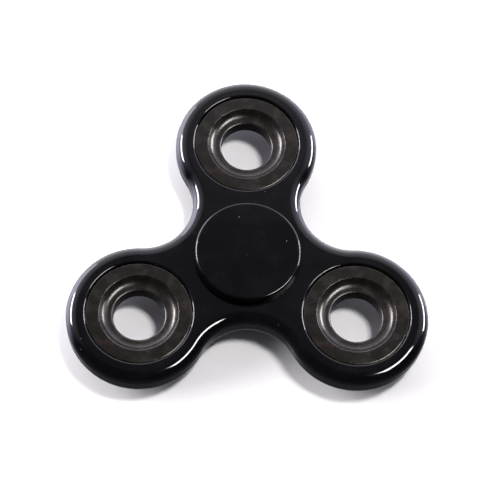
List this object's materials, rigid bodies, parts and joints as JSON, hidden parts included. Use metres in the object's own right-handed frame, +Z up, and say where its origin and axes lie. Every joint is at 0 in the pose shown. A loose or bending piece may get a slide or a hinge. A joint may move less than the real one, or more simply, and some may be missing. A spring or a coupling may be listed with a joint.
{
  "type": "fidget spinner",
  "caption": "Three-armed finger spinner: gloss body with coved ring weights, turning on a ball bearing between two finger caps.",
  "frame": {"origin": "centre of the lower finger cap's flat resting face, on the spin axis", "axes": "+Z up along the spin axis, +Y towards the first arm, +X across the other two arms"},
  "size_m": [0.0742, 0.0683, 0.0116],
  "materials": {
    "body_plastic": "high gloss injection-moulded black ABS, fine dust and hairline scratches",
    "cap_plastic": "semi-gloss black ABS, slightly softer than the body, handled",
    "weight_metal": "blackened turned steel, brown-black and satin, with nicks, speckles and a few rust spots",
    "bearing_steel": "ground and polished bearing steel",
    "pressed_steel": "cold-rolled sheet steel, satin"
  },
  "bodies": {
    "hub": {"finger_cap_lower": "cap_plastic", "finger_cap_upper": "cap_plastic", "bearing_inner_ring": "bearing_steel"},
    "rotor": {"spinner_body": "body_plastic", "weight_ring_1": "weight_metal", "weight_ring_2": "weight_metal", "weight_ring_3": "weight_metal", "bearing_outer_ring": "bearing_steel", "bearing_shield_upper": "pressed_steel", "bearing_shield_lower": "pressed_steel"},
    "cage": {"bearing_cage_upper": "pressed_steel", "bearing_cage_lower": "pressed_steel", "cage_rivet_1": "pressed_steel", "cage_rivet_2": "pressed_steel", "cage_rivet_3": "pressed_steel", "cage_rivet_4": "pressed_steel", "cage_rivet_5": "pressed_steel", "cage_rivet_6": "pressed_steel", "cage_rivet_7": "pressed_steel"},
    "ball_1": {"bearing_ball_1": "bearing_steel"},
    "ball_2": {"bearing_ball_2": "bearing_steel"},
    "ball_3": {"bearing_ball_3": "bearing_steel"},
    "ball_4": {"bearing_ball_4": "bearing_steel"},
    "ball_5": {"bearing_ball_5": "bearing_steel"},
    "ball_6": {"bearing_ball_6": "bearing_steel"},
    "ball_7": {"bearing_ball_7": "bearing_steel"}
  },
  "joints": [
    {"name": "rotor_spin", "type": "hinge", "parent": "hub", "child": "rotor", "pos_m": [0, 0, 0.0058], "axis": [0, 0, 1], "continuous": true},
    {"name": "cage_spin", "type": "hinge", "parent": "hub", "child": "cage", "pos_m": [0, 0, 0.0058], "axis": [0, 0, 1], "continuous": true},
    {"name": "ball_1_spin", "type": "hinge", "parent": "cage", "child": "ball_1", "pos_m": [0.0075, 0, 0.0058], "axis": [0, 0, 1], "continuous": true},
    {"name": "ball_2_spin", "type": "hinge", "parent": "cage", "child": "ball_2", "pos_m": [0.00468, 0.00586, 0.0058], "axis": [0, 0, 1], "continuous": true},
    {"name": "ball_3_spin", "type": "hinge", "parent": "cage", "child": "ball_3", "pos_m": [-0.00167, 0.00731, 0.0058], "axis": [0, 0, 1], "continuous": true},
    {"name": "ball_4_spin", "type": "hinge", "parent": "cage", "child": "ball_4", "pos_m": [-0.00676, 0.00325, 0.0058], "axis": [0, 0, 1], "continuous": true},
    {"name": "ball_5_spin", "type": "hinge", "parent": "cage", "child": "ball_5", "pos_m": [-0.00676, -0.00325, 0.0058], "axis": [0, 0, 1], "continuous": true},
    {"name": "ball_6_spin", "type": "hinge", "parent": "cage", "child": "ball_6", "pos_m": [-0.00167, -0.00731, 0.0058], "axis": [0, 0, 1], "continuous": true},
    {"name": "ball_7_spin", "type": "hinge", "parent": "cage", "child": "ball_7", "pos_m": [0.00468, -0.00586, 0.0058], "axis": [0, 0, 1], "continuous": true}
  ],
  "couplings": [
    {"joint": "cage_spin", "follows": "rotor_spin", "ratio": 0.6323},
    {"joint": "ball_1_spin", "follows": "rotor_spin", "ratio": 1.7573},
    {"joint": "ball_2_spin", "follows": "rotor_spin", "ratio": 1.7573},
    {"joint": "ball_3_spin", "follows": "rotor_spin", "ratio": 1.7573},
    {"joint": "ball_4_spin", "follows": "rotor_spin", "ratio": 1.7573},
    {"joint": "ball_5_spin", "follows": "rotor_spin", "ratio": 1.7573},
    {"joint": "ball_6_spin", "follows": "rotor_spin", "ratio": 1.7573},
    {"joint": "ball_7_spin", "follows": "rotor_spin", "ratio": 1.7573}
  ]
}
